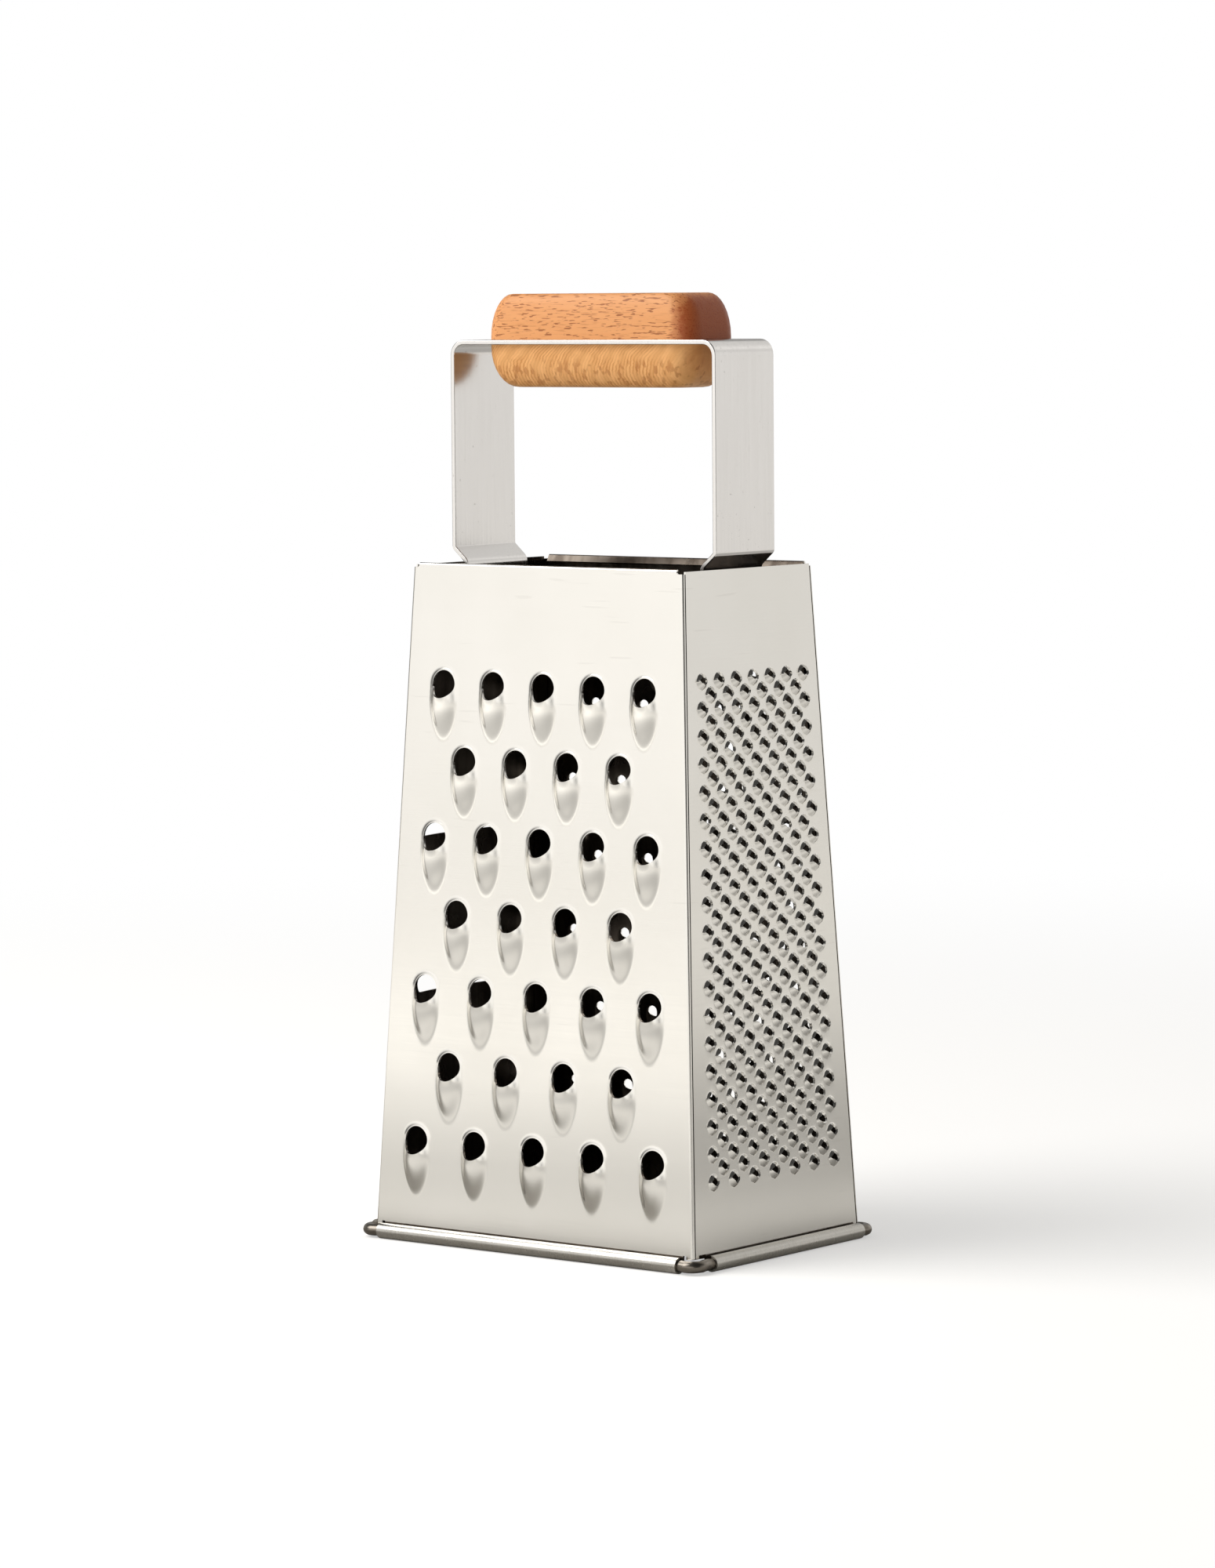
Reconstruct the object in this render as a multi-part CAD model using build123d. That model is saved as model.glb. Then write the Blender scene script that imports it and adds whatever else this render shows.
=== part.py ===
from build123d import *
import math
import os

# Four-sided box grater. X runs across the wide walls, Y across the narrow ones, Z is up.
# The origin is the middle of the base, on the table. Lengths are in millimetres.

# Body: four steel sheets that lean in towards the top
sheet = 0.5
wall_height = 176.0
foot_width = 104.0
foot_depth = 72.1
top_width = 87.3
top_depth = 55.0

# Upright corners: a wide wall turns the corner, steps in and laps behind the narrow wall
corner_bend = 1.0
corner_return = 1.4
corner_blank = 3.0
joggle_bend = 0.65
joggle_run = 0.45
joggle_crease = 0.15
seam_gap = 0.1
lap_width = 5.0
lap_clearance = 0.05
lap_top_drop = 3.5

# Top hem: each upper edge is folded inwards and down, with a notch beside each corner
hem_bend = 0.7
hem_turn = 135.0
hem_flange = 1.3
hem_stub = 3.5
notch_width = 2.2
notch_depth = 1.0

# Base hem: each lower edge is rolled outwards round a steel wire
wire_radius = 1.5
wire_clearance = 0.05
roll_turn = 316.0
stub_height = 7.0
relief_height = 4.4
tip_height = 3.5
tip_width = 1.5

# Base wire: one ring with bulged corners that stand bare between the rolls
wire_corner_bend = 2.8
wire_corner_bulge = 0.9
wire_corner_run = 4.7
wire_sides = 10
wire_joint_gap = 0.4
roll_end_margin = 0.2
wide_roll_trim = 0.7
narrow_roll_trim = 3.0

# Coarse side: rows of large holes, each with a hood pushed out below it
coarse_rows = 7
coarse_count = 5
coarse_count_step = -1
coarse_first_row = 145.0
coarse_row_pitch = 19.77
coarse_first_pitch = 16.3
coarse_last_pitch = 19.3
coarse_hole = 3.75
coarse_hole_sides = 8
coarse_half_width = 4.1
coarse_rise = 2.0
coarse_facets = 4
coarse_waist = 5.5
coarse_waist_share = 0.95
coarse_reach = 13.2

# Medium side: a smaller, narrower tooth of the same kind in closer rows
medium_rows = 13
medium_count = 9
medium_count_step = 1
medium_first_row = 147.0
medium_row_pitch = 10.23
medium_first_pitch = 7.95
medium_last_pitch = 8.95
medium_hole = 1.7
medium_half_width = 1.75
medium_rise = 1.0
medium_facets = 2
medium_reach = 6.4

# Fine side: a close field of punches that burst into sharp rims
fine_rows = 37
fine_count = 7
fine_count_step = -1
fine_first_row = 147.8
fine_row_pitch = 3.5
fine_first_pitch = 7.2
fine_last_pitch = 8.63
fine_sides = 3
fine_base = 2.5
fine_mouth = 1.8
fine_peak = 1.6
fine_taper = 21.0

# Slicing side: two long slots, each over a shallow blade that bulges outwards
slice_heights = (104.0, 62.7)
slice_half_width = 22.0
slice_slot_height = 4.8
slice_end_bend = 2.2
slice_rise = 2.2
slice_facets = 6
slice_waist = 5.0
slice_waist_share = 0.93
slice_reach = 13.0

# Handle strap: one bent steel strip that steps in over the rim and is welded inside
strap_width = 25.0
strap_thickness = 1.2
strap_span = 86.0
strap_rise = 57.2
strap_bend = 4.0
strap_crease_rise = 3.5
strap_step = 4.7
strap_step_drop = 4.1
strap_fold_bend = 1.5
strap_pad_drop = 6.5
strap_pad_length = 14.0
weld_clearance = 0.05

# Wooden grip: two halves that clamp the strap between them
grip_length = 62.0
grip_depth = 22.0
grip_corner = 5.5
grip_upper_height = 11.8
grip_lower_height = 11.0
grip_upper_end = 6.0
grip_upper_side = 2.4
grip_lower_end = 6.5
grip_lower_side = 4.5
grip_steps = 3
grip_clearance = 0.05

# Grip screws: two countersunk screws driven up through the lower half and the strap
screw_spacing = 36.0
screw_radius = 1.6
screw_head_radius = 3.3
screw_head_height = 2.0
screw_sink = 0.4
screw_bite = 7.0
screw_clearance = 0.05
strap_hole_clearance = 0.3

# One overrun serves every cut
overrun = 5.0

# Sizes that follow from the values above
wire_offset = wire_radius + wire_clearance
roll_radius = wire_offset + sheet
lap_inset = sheet + lap_clearance
strap_top = wall_height + strap_rise
strap_underside = strap_top - strap_thickness
grip_seat = strap_top + grip_clearance
grip_parting = strap_underside - grip_clearance
grip_bottom = grip_parting - grip_lower_height


class Wall:
    """One leaning wall, described as if it faced -Y."""

    def __init__(self, foot_reach, top_reach, foot_span, top_span):
        self.foot_reach = foot_reach / 2
        self.top_reach = top_reach / 2
        self.foot_span = foot_span / 2
        self.top_span = top_span / 2
        self.slope = (self.foot_reach - self.top_reach) / wall_height
        self.lean = math.atan(self.slope)
        # In this frame the wall stands upright: its outer face is at Y = 0, inwards is +Y.
        self.plane = Plane(
            origin=(0, -self.foot_reach, 0),
            x_dir=(1, 0, 0),
            z_dir=(0, math.sin(self.lean), math.cos(self.lean)),
        )
        self.top = self.up(wall_height)

    def reach(self, height):
        """Distance from the body's middle to the wall's outer face."""
        return self.foot_reach - self.slope * height

    def span(self, height):
        """Half of the wall's width from corner to corner."""
        return self.foot_span + (self.top_span - self.foot_span) * height / wall_height

    def up(self, height):
        """Distance up the wall's face to a height above the table."""
        return height / math.cos(self.lean)

    def wire_up(self):
        """Place of the base wire's axis, up the wall's face."""
        rise = roll_radius - wire_offset * math.sin(self.lean)
        return rise / math.cos(self.lean)

    def wire_reach(self):
        """Distance from the body's middle to the base wire's axis."""
        drop = self.wire_up() * math.sin(self.lean)
        return self.foot_reach - drop + wire_offset * math.cos(self.lean)


wide = Wall(foot_depth, top_depth, foot_width, top_width)
narrow = Wall(foot_width, top_width, foot_depth, top_depth)


def box_between(low, high):
    """Box from one corner to the opposite one."""
    size = [h - l for l, h in zip(low, high)]
    middle = [(h + l) / 2 for l, h in zip(low, high)]
    return Pos(*middle) * Box(*size)


def bent_strip(points, bends, thickness, side):
    """Outline of a bent strip whose one face follows the points."""
    path = FilletPolyline(*points, radius=bends)
    return make_face(path.wire().offset_2d(thickness, side=side, closed=True).edges())


def wall_plate(wall, inset):
    """Flat sheet of a wall, its upright edges set in from the corners."""
    low, high = tip_height, wall_height
    outline = Polyline(
        (-wall.span(low) + inset, wall.up(low)),
        (wall.span(low) - inset, wall.up(low)),
        (wall.span(high) - inset, wall.up(high)),
        (-wall.span(high) + inset, wall.up(high)),
        close=True,
    )
    return extrude(Plane.XZ * make_face(outline), -sheet)


def top_hem(wall, half_length):
    """Folded upper edge of a wall."""
    turn = math.radians(hem_turn)
    tangent = hem_bend * math.tan(turn / 2)
    apex = wall.top - hem_bend + tangent
    flange = tangent + hem_flange
    points = [
        (0, wall.top - hem_stub),
        (0, apex),
        (flange * math.sin(turn), apex + flange * math.cos(turn)),
    ]
    profile = bent_strip(points, hem_bend, sheet, Side.RIGHT)
    return Pos(-half_length, 0, 0) * extrude(Plane.YZ * profile, 2 * half_length)


def base_roll(wall, start, end):
    """Lower edge of a wall, rolled outwards round the wire."""
    up = wall.wire_up()
    centre = (-wire_offset, up)
    sweep = math.radians(roll_turn)
    inner_end = polar_point(centre, wire_offset, sweep)
    outer_end = polar_point(centre, roll_radius, sweep)
    outline = [
        Polyline((sheet, up), (sheet, stub_height), (0, stub_height), (0, up)),
        ThreePointArc((0, up), polar_point(centre, wire_offset, sweep / 2), inner_end),
        Line(inner_end, outer_end),
        ThreePointArc(outer_end, polar_point(centre, roll_radius, sweep / 2), (sheet, up)),
    ]
    return Pos(start, 0, 0) * extrude(Plane.YZ * make_face(outline), end - start)


def polar_point(centre, radius, sweep):
    """Point on the roll, swept from the wall side down and round."""
    return (centre[0] + radius * math.cos(sweep), centre[1] - radius * math.sin(sweep))


def roll_end(cross_wall):
    """Farthest that a roll can reach along its wall before the wire turns the corner."""
    return cross_wall.wire_reach() + wire_corner_bulge - wire_corner_run - roll_end_margin


def corner_relief(wall, edge, start, end):
    """Cuts that free the wall's foot from the wire beside each end of the roll."""
    tip = edge - tip_width
    cuts = []
    for low, high in ((-tip, start), (end, tip)):
        if high > low:
            cuts.append(box_between((low, -overrun, 0), (high, overrun, wall.up(relief_height))))
    return cuts


def lap_corner():
    """Corner bend, joggle and lap flange at the wide wall's +X end, in the body's frame."""
    x, y = wide.span(0), -wide.reach(0)
    points = [
        (x - corner_blank, y),
        (x, y),
        (x, y + corner_return),
        (x - lap_inset, y + corner_return + joggle_run),
        (x - lap_inset, y + corner_return + joggle_run + lap_width),
    ]
    thickness = sheet / math.cos(wide.lean)
    section = bent_strip(points, [corner_bend, joggle_bend, joggle_crease], thickness, Side.LEFT)
    lean_in = wide.foot_reach - wide.top_reach
    along = Vector(wide.top_span - wide.foot_span, lean_in, wall_height)
    corner = extrude(section, along.length, dir=along)
    lap = y + corner_return
    top = lap + lean_in
    cuts = [
        box_between((0, y, 0), (x, 0, tip_height)),
        box_between((0, lap, 0), (x, 0, relief_height)),
        box_between((0, top, wall_height - lap_top_drop), (x, 0, wall_height)),
    ]
    return corner - cuts


def wide_wall():
    """Wide wall with its hem, its roll and a lapped corner at each end."""
    end = roll_end(narrow) - wide_roll_trim
    start = -end
    hem_half = wide.top_span - corner_bend - notch_width
    hem_cut = box_between(
        (-hem_half, -overrun, wide.top - hem_stub),
        (hem_half, overrun, wide.top + overrun),
    )
    upright = wall_plate(wide, corner_bend) - hem_cut
    upright = upright + top_hem(wide, hem_half) + base_roll(wide, start, end)
    notches = [
        box_between(
            (side * (hem_half + notch_width / 2) - notch_width / 2, -overrun, wide.top - notch_depth),
            (side * (hem_half + notch_width / 2) + notch_width / 2, overrun, wide.top + overrun),
        )
        for side in (-1, 1)
    ]
    upright = upright - notches - corner_relief(wide, wide.span(0), start, end)
    corner = lap_corner()
    return wide.plane.location * upright + corner + mirror(corner, Plane.YZ)


def narrow_wall():
    """Narrow wall with its hem and its roll, its edges bare at the seams."""
    inset = corner_return + joggle_run + seam_gap
    end = roll_end(wide)
    start = narrow_roll_trim - end
    hem_half = narrow.top_span - inset
    hem_cut = box_between(
        (-hem_half - overrun, -overrun, narrow.top - hem_stub),
        (hem_half + overrun, overrun, narrow.top + overrun),
    )
    upright = wall_plate(narrow, inset) - hem_cut
    upright = upright + top_hem(narrow, hem_half) + base_roll(narrow, start, end)
    upright = upright - corner_relief(narrow, narrow.span(0) - inset, start, end)
    return narrow.plane.location * upright


def tooth_places(rows, count, count_step, first_row, row_pitch, first_pitch, last_pitch):
    """Places of staggered teeth whose spacing follows the leaning sides."""
    places = []
    for row in range(rows):
        in_row = count + count_step * (row % 2)
        pitch = first_pitch + (last_pitch - first_pitch) * row / (rows - 1)
        for column in range(in_row):
            across = (column - (in_row - 1) / 2) * pitch
            places.append(Pos(across, 0, first_row - row * row_pitch))
    return places


def arch(half_width, rise, facets, height):
    """Faceted arch that stands out of the wall, at one height of a hood."""
    radius = (half_width**2 + rise**2) / (2 * rise)
    half_angle = math.asin(half_width / radius)
    points = []
    for step in range(facets + 1):
        angle = half_angle * (2 * step / facets - 1)
        points.append((radius * math.sin(angle), radius * math.cos(angle) - radius + rise))
    level = Plane(origin=(0, 0, height), x_dir=(1, 0, 0), z_dir=(0, 0, -1))
    return level * make_face(Polyline(*points, close=True))


def hood(half_width, rise, facets, waist, waist_share, reach):
    """Bulge pressed outwards: full down to its waist, then narrowing to a point."""
    sections = [
        arch(half_width, rise, facets, 0),
        arch(half_width * waist_share, rise * waist_share, facets, -waist),
        Vertex(0, 0, -reach),
    ]
    return loft(sections, ruled=True)


def press_teeth(wall, blank, places, tooth, holes):
    """Press hollow teeth out of a wall and pierce it above them."""
    inside = Pos(0, sheet, 0) * tooth
    teeth = [wall.plane.location * place * tooth for place in places]
    cuts = []
    for place in places:
        cuts.append(wall.plane.location * place * inside)
        cuts += [wall.plane.location * place * hole for hole in holes]
    return blank.fuse(*teeth).cut(*cuts)


def through_hole(outline):
    """Straight cutter of an outline drawn on the wall's face."""
    return extrude(Plane.XZ * outline, overrun, both=True)


def coarse_panel():
    """Wide front wall with large shredding teeth."""
    places = tooth_places(
        coarse_rows, coarse_count, coarse_count_step, coarse_first_row,
        coarse_row_pitch, coarse_first_pitch, coarse_last_pitch,
    )
    tooth = hood(
        coarse_half_width, coarse_rise, coarse_facets,
        coarse_waist, coarse_waist_share, coarse_reach,
    )
    hole = through_hole(RegularPolygon(coarse_hole, coarse_hole_sides))
    return press_teeth(wide, wide_wall(), places, tooth, [hole])


def medium_panel():
    """Wide back wall with small shredding teeth."""
    places = tooth_places(
        medium_rows, medium_count, medium_count_step, medium_first_row,
        medium_row_pitch, medium_first_pitch, medium_last_pitch,
    )
    mouth = arch(medium_half_width, medium_rise, medium_facets, 0)
    tooth = loft([mouth, Vertex(0, 0, -medium_reach)], ruled=True)
    corners = [(-medium_half_width, 0), (0, medium_hole), (medium_half_width, 0)]
    hole = through_hole(make_face(Polyline(*corners, close=True)))
    return Rot(0, 0, 180) * press_teeth(wide, wide_wall(), places, tooth, [hole])


def punch_outline(radius):
    """Outline of a fine punch, one corner pointing up the wall."""
    return Rot(0, 0, 90) * RegularPolygon(radius, fine_sides)


def fine_panel():
    """Narrow right wall with burst punches: hollow spikes cut off to sharp rims."""
    places = tooth_places(
        fine_rows, fine_count, fine_count_step, fine_first_row,
        fine_row_pitch, fine_first_pitch, fine_last_pitch,
    )
    spike = extrude(Plane.XZ * punch_outline(fine_base), fine_peak, taper=fine_taper)
    spike = Pos(0, sheet / 2, 0) * spike
    mouth = through_hole(punch_outline(fine_mouth))
    spots = [narrow.plane.location * place for place in places]
    panel = narrow_wall().fuse(*[spot * spike for spot in spots])
    return Rot(0, 0, 90) * panel.cut(*[spot * mouth for spot in spots])


def slicer_panel():
    """Narrow left wall with two slicing slots."""
    places = [Pos(0, 0, narrow.up(height)) for height in slice_heights]
    tooth = hood(
        slice_half_width, slice_rise, slice_facets,
        slice_waist, slice_waist_share, slice_reach,
    )
    slot = Pos(0, slice_slot_height / 2) * RectangleRounded(
        2 * slice_half_width, slice_slot_height, slice_end_bend
    )
    return Rot(0, 0, -90) * press_teeth(narrow, narrow_wall(), places, tooth, [through_hole(slot)])


def base_wire():
    """Steel ring inside the base rolls, with its butt joint hidden in the back roll."""
    side, back = narrow.wire_reach(), wide.wire_reach()
    corner_x, corner_y = side + wire_corner_bulge, back + wire_corner_bulge
    run_x, run_y = corner_x - wire_corner_run, corner_y - wire_corner_run
    points = [(wire_joint_gap / 2, back)]
    for sx, sy in ((1, 1), (1, -1), (-1, -1), (-1, 1)):
        along = (sx * run_x, sy * back)
        across = (sx * side, sy * run_y)
        corner = (sx * corner_x, sy * corner_y)
        points += [along, corner, across] if sx == sy else [across, corner, along]
    points.append((-wire_joint_gap / 2, back))
    bends = [0, wire_corner_bend, 0] * 4
    path = Pos(0, 0, roll_radius) * FilletPolyline(*points, radius=bends)
    start = Plane(origin=path @ 0, z_dir=path % 0)
    section = start * RegularPolygon(wire_radius, wire_sides)
    return sweep(section, path=path, transition=Transition.RIGHT)


def handle_strap():
    """Steel strip bent over the top, down both sides and in behind the narrow walls."""
    half = strap_span / 2
    pad_inset = (sheet + weld_clearance) / math.cos(narrow.lean)
    crease = wall_height + strap_crease_rise
    pad = wall_height - strap_pad_drop
    foot = pad - strap_pad_length
    right = [
        (half, strap_top),
        (half, crease),
        (half - strap_step, crease - strap_step_drop),
        (narrow.reach(pad) - pad_inset, pad),
        (narrow.reach(foot) - pad_inset, foot),
    ]
    left = [(-x, z) for x, z in reversed(right)]
    folds = [strap_bend] + [strap_fold_bend] * 3
    profile = bent_strip(left + right, folds[::-1] + folds, strap_thickness, Side.RIGHT)
    strip = extrude(Plane.XZ * profile, strap_width / 2, both=True)
    hole = Pos(0, 0, strap_top) * Cylinder(screw_radius + strap_hole_clearance, overrun)
    return strip - [Pos(x, 0, 0) * hole for x in screw_places()]


def screw_places():
    """Places of the grip screws along the grip."""
    return (-screw_spacing / 2, screw_spacing / 2)


def grip_half(height, end_inset, side_inset):
    """Wooden half that stands on its flat face and rounds over towards its top."""
    sections = []
    for step in range(grip_steps + 1):
        rise = math.sin(math.pi / 2 * step / grip_steps)
        inset = 1 - math.cos(math.pi / 2 * step / grip_steps)
        length = grip_length - 2 * end_inset * inset
        depth = grip_depth - 2 * side_inset * inset
        corner = grip_corner - side_inset * inset / 2
        sections.append(Pos(0, 0, height * rise) * RectangleRounded(length, depth, corner))
    return loft(sections, ruled=True)


def grip_screw():
    """Countersunk screw that points up, its head's face at Z = 0."""
    tip = grip_lower_height + strap_thickness + screw_bite
    profile = Polyline(
        (0, 0),
        (screw_head_radius, 0),
        (screw_radius, screw_head_height),
        (screw_radius, tip),
        (0, tip),
        close=True,
    )
    return revolve(Plane.XZ * make_face(profile), Axis.Z)


def screw_bore():
    """Room for a screw: its own shape grown by the clearance, open below its head."""
    grown = offset(grip_screw(), screw_clearance, kind=Kind.INTERSECTION)
    mouth = Pos(0, 0, -overrun / 2) * Cylinder(screw_head_radius + screw_clearance, overrun)
    return grown + mouth


def at_screws(shape):
    """Copies of a shape at the two screws, at the height of their heads."""
    return [Pos(x, 0, grip_bottom + screw_sink) * shape for x in screw_places()]


def grip_upper():
    """Upper half of the wooden grip, on top of the strap."""
    half = Pos(0, 0, grip_seat) * grip_half(grip_upper_height, grip_upper_end, grip_upper_side)
    return half - at_screws(screw_bore())


def grip_lower():
    """Lower half of the wooden grip, under the strap."""
    half = Rot(180, 0, 0) * grip_half(grip_lower_height, grip_lower_end, grip_lower_side)
    return Pos(0, 0, grip_parting) * half - at_screws(screw_bore())


def grip_screws():
    """The two screws that hold the grip together."""
    return Compound(children=at_screws(grip_screw()))


nodes = {
    "coarse_panel": coarse_panel,
    "medium_panel": medium_panel,
    "fine_panel": fine_panel,
    "slicer_panel": slicer_panel,
    "base_wire": base_wire,
    "handle_strap": handle_strap,
    "grip_upper": grip_upper,
    "grip_lower": grip_lower,
    "grip_screws": grip_screws,
}

os.makedirs("parts", exist_ok=True)
for name, make in nodes.items():
    export_step(make(), f"parts/{name}.step")
    print("wrote", name)
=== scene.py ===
import bmesh
import bpy
import math
import random
from mathutils import Matrix, Vector


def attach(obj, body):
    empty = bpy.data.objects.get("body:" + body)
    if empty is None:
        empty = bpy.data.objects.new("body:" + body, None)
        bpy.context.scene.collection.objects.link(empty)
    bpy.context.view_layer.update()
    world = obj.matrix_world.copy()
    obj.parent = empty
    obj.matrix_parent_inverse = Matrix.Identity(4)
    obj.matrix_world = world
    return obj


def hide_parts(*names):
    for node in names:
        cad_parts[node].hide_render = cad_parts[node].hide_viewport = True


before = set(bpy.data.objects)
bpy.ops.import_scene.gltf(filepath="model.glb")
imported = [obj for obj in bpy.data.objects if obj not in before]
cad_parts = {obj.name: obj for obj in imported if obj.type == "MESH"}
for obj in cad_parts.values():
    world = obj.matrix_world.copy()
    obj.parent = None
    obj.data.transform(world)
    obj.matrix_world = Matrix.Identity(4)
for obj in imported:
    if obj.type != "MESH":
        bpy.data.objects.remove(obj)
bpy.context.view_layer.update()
mm = 0.001
close = 1e-6  # metres; points nearer than this are one place
random.seed(7)

# Body: each wall is drawn upright, X across, Z up, its outer face at Y = 0 and inwards as +Y. Millimetres.
body = {
    "height": 176.0, "footWidth": 104.0, "footDepth": 72.1, "topWidth": 87.3, "topDepth": 55.0,
    "sheet": 0.5, "sharpAngle": 32,
    # corner of a wide wall: bend, return, step inwards, and the lap behind the narrow wall
    "cornerBend": 0.8, "cornerSteps": 6, "cornerReturn": 0.02, "joggleRun": 0.2, "joggleStep": 0.55,
    "lap": 5.0, "lapDepths": (0.03, 0.8), "bendSlack": 0.05,
    # top: how far in a narrow wall starts, the hem, and the wide walls' corner notches
    "seam": 1.22, "hemBend": 0.6, "hemTurn": 150, "hemSteps": 6, "hemFlange": 1.6, "hemSlack": 0.01,
    "notch": 1.1, "notchDepth": 1.2, "notchBend": 0.4,
    # base: the roll round the wire, the strip of wall behind it that gets painted shade, and the tips beside
    # its ends
    "rollRadius": 1.55, "rollTurn": 297, "rollSteps": 28, "rollInset": 4.0, "rollSlack": 0.02, "shade": 4.25,
    "relief": 4.4, "tip": 3.5, "tipWidth": 1.5, "wideTrim": 0.7, "narrowTrim": 3.0,
}
# A sheet's faces are tagged before it gets its thickness. Counting on from the tag, sideSlots gives the
# finish of its outer side, its inner side and its cut edge. The side out of sight, facing into the grater or
# round the wire, gets the dark inside finish, which is painted shade. A roll shows its inner side. What is
# tagged lap gets that painted shade all over, because it lies behind a seam, behind a roll or inside the
# top.
tags = {"wall": 0, "roll": 3, "lap": 6}
sheetSlots = ("sheet", "inside", "roll")
sideSlots = (0, 1, 0, 1, 2, 2, 1, 1, 1)


class Wall:
    # Where one leaning wall stands
    def __init__(self, footReach, topReach, footSpan, topSpan):
        self.footReach, self.topReach = footReach / 2, topReach / 2
        self.footSpan, self.topSpan = footSpan / 2, topSpan / 2
        self.lean = math.atan((self.footReach - self.topReach) / body["height"])
        self.top = self.up(body["height"])

    def up(self, height):
        return height / math.cos(self.lean)

    def span(self, up):
        return self.footSpan + (self.topSpan - self.footSpan) * up / self.top

    def wireUp(self):
        rise = body["rollRadius"] + body["sheet"] - body["rollRadius"] * math.sin(self.lean)
        return rise / math.cos(self.lean)

    def wireReach(self):
        wallReach = self.footReach - self.wireUp() * math.sin(self.lean)
        return wallReach + body["rollRadius"] * math.cos(self.lean)

    def matrix(self):
        return Matrix.Translation((0, -self.footReach * mm, 0)) @ Matrix.Rotation(-self.lean, 4, "X")


wide = Wall(body["footDepth"], body["topDepth"], body["footWidth"], body["topWidth"])
narrow = Wall(body["footWidth"], body["topWidth"], body["footDepth"], body["topDepth"])


# Modelling helpers

def choose(piece):
    bpy.ops.object.select_all(action="DESELECT")
    piece.select_set(True)
    bpy.context.view_layer.objects.active = piece


def edit(piece):
    choose(piece)
    bpy.ops.object.mode_set(mode="EDIT")
    bpy.ops.mesh.select_mode(type="VERT")
    bpy.ops.mesh.select_all(action="DESELECT")
    return bmesh.from_edit_mesh(piece.data)


def finishEdit():
    bpy.ops.object.mode_set(mode="OBJECT")


def applyModifier(piece, kind, **settings):
    choose(piece)
    modifier = piece.modifiers.new(kind.lower(), kind)
    for name, value in settings.items():
        setattr(modifier, name, value)
    bpy.ops.object.modifier_apply(modifier=modifier.name)


def smooth(piece, angle, weighted=False):
    # Edges sharper than the angle, in degrees, stay sharp
    choose(piece)
    bpy.ops.object.shade_smooth_by_angle(angle=math.radians(angle))
    if weighted:
        applyModifier(piece, "WEIGHTED_NORMAL", keep_sharp=True, weight=60)


def tagFaces(piece, tag, test):
    for face in piece.data.polygons:
        if test(face.center):
            face.material_index = tags[tag]


def addLoop(name, points):
    # A ring of edges, its points moved to their places
    bpy.ops.object.select_all(action="DESELECT")
    bpy.ops.mesh.primitive_circle_add(vertices=len(points), radius=mm)
    piece = bpy.context.object
    piece.name = name
    for vert, point in zip(piece.data.vertices, points):
        vert.co = point
    return piece


def growRings(piece, rings):
    # Extrudes the ring again and again; each new ring is moved to its place
    mesh = edit(piece)
    bpy.ops.mesh.select_all(action="SELECT")
    last = [vert.co.copy() for vert in mesh.verts]
    for ring in rings:
        bpy.ops.mesh.extrude_edges_move()
        mesh = bmesh.from_edit_mesh(piece.data)
        mesh.verts.ensure_lookup_table()
        for vert in mesh.verts[-len(last):]:
            nearest = min(range(len(last)), key=lambda index: (last[index] - vert.co).length_squared)
            vert.co = ring[nearest]
        last = list(ring)
    finishEdit()
    return piece


def copyTo(piece, place):
    twin = piece.copy()
    twin.data = piece.data.copy()
    bpy.context.collection.objects.link(twin)
    twin.data.transform(place)
    return twin


def joinAll(pieces, name):
    bpy.ops.object.select_all(action="DESELECT")
    for piece in pieces:
        piece.select_set(True)
    bpy.context.view_layer.objects.active = pieces[0]
    bpy.ops.object.join()
    pieces[0].name = name
    return pieces[0]


def smoothMax(height, softness):
    if height <= -softness:
        return 0.0
    if height >= softness:
        return height
    return (height + softness) ** 2 / (4 * softness)


def smoothStep(low, high, value):
    share = min(max((value - low) / (high - low), 0), 1)
    return share * share * (3 - 2 * share)


# Walls

def rollEnds(crossWall, nearTrim, farTrim):
    far = crossWall.wireReach() - body["rollInset"]
    return nearTrim - far, far - farTrim


def wallOutline(wall, inset, hemHalf, notched, rollStart, rollEnd):
    # Edge of the flat sheet from the foot's left corner round to the top's left corner
    tip, relief, rollUp, top = wall.up(body["tip"]), wall.up(body["relief"]), wall.wireUp(), wall.top
    tipEnd = wall.span(0) - inset - body["tipWidth"]
    points = [(inset - wall.span(tip), tip)]
    if -tipEnd < rollStart:
        points += [(-tipEnd, tip), (-tipEnd, relief), (rollStart, relief)]
    else:
        points += [(rollStart, tip)]
    points += [(rollStart, rollUp), (rollEnd, rollUp)]
    if tipEnd > rollEnd:
        points += [(rollEnd, relief), (tipEnd, relief), (tipEnd, tip)]
    else:
        points += [(rollEnd, tip)]
    points += [(wall.span(tip) - inset, tip)]
    hemUp, low = top - body["hemBend"], top - body["notchDepth"]
    if notched:
        corner = [(wall.span(low) - inset, low), (hemHalf + body["notchBend"], low),
                  (hemHalf, low + body["notchBend"]), (hemHalf, hemUp)]
    else:
        corner = [(wall.span(hemUp) - inset, hemUp)]
    points += corner + [(-x, z) for x, z in reversed(corner)]
    return [Vector((x, 0, z)) * mm for x, z in points]


def bendEdge(piece, test, angle, steps, center, axis):
    # Spins the chosen edges round an axis, as a sheet is bent round a bar; the tool turns clockwise
    mesh = edit(piece)
    for vert in mesh.verts:
        vert.select = test(vert.co)
    mesh.select_flush_mode()
    bpy.ops.mesh.spin(steps=steps, angle=-angle, center=center, axis=axis)


def pushEdge(move):
    bpy.ops.mesh.extrude_edges_move(TRANSFORM_OT_translate={"value": move})


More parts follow.
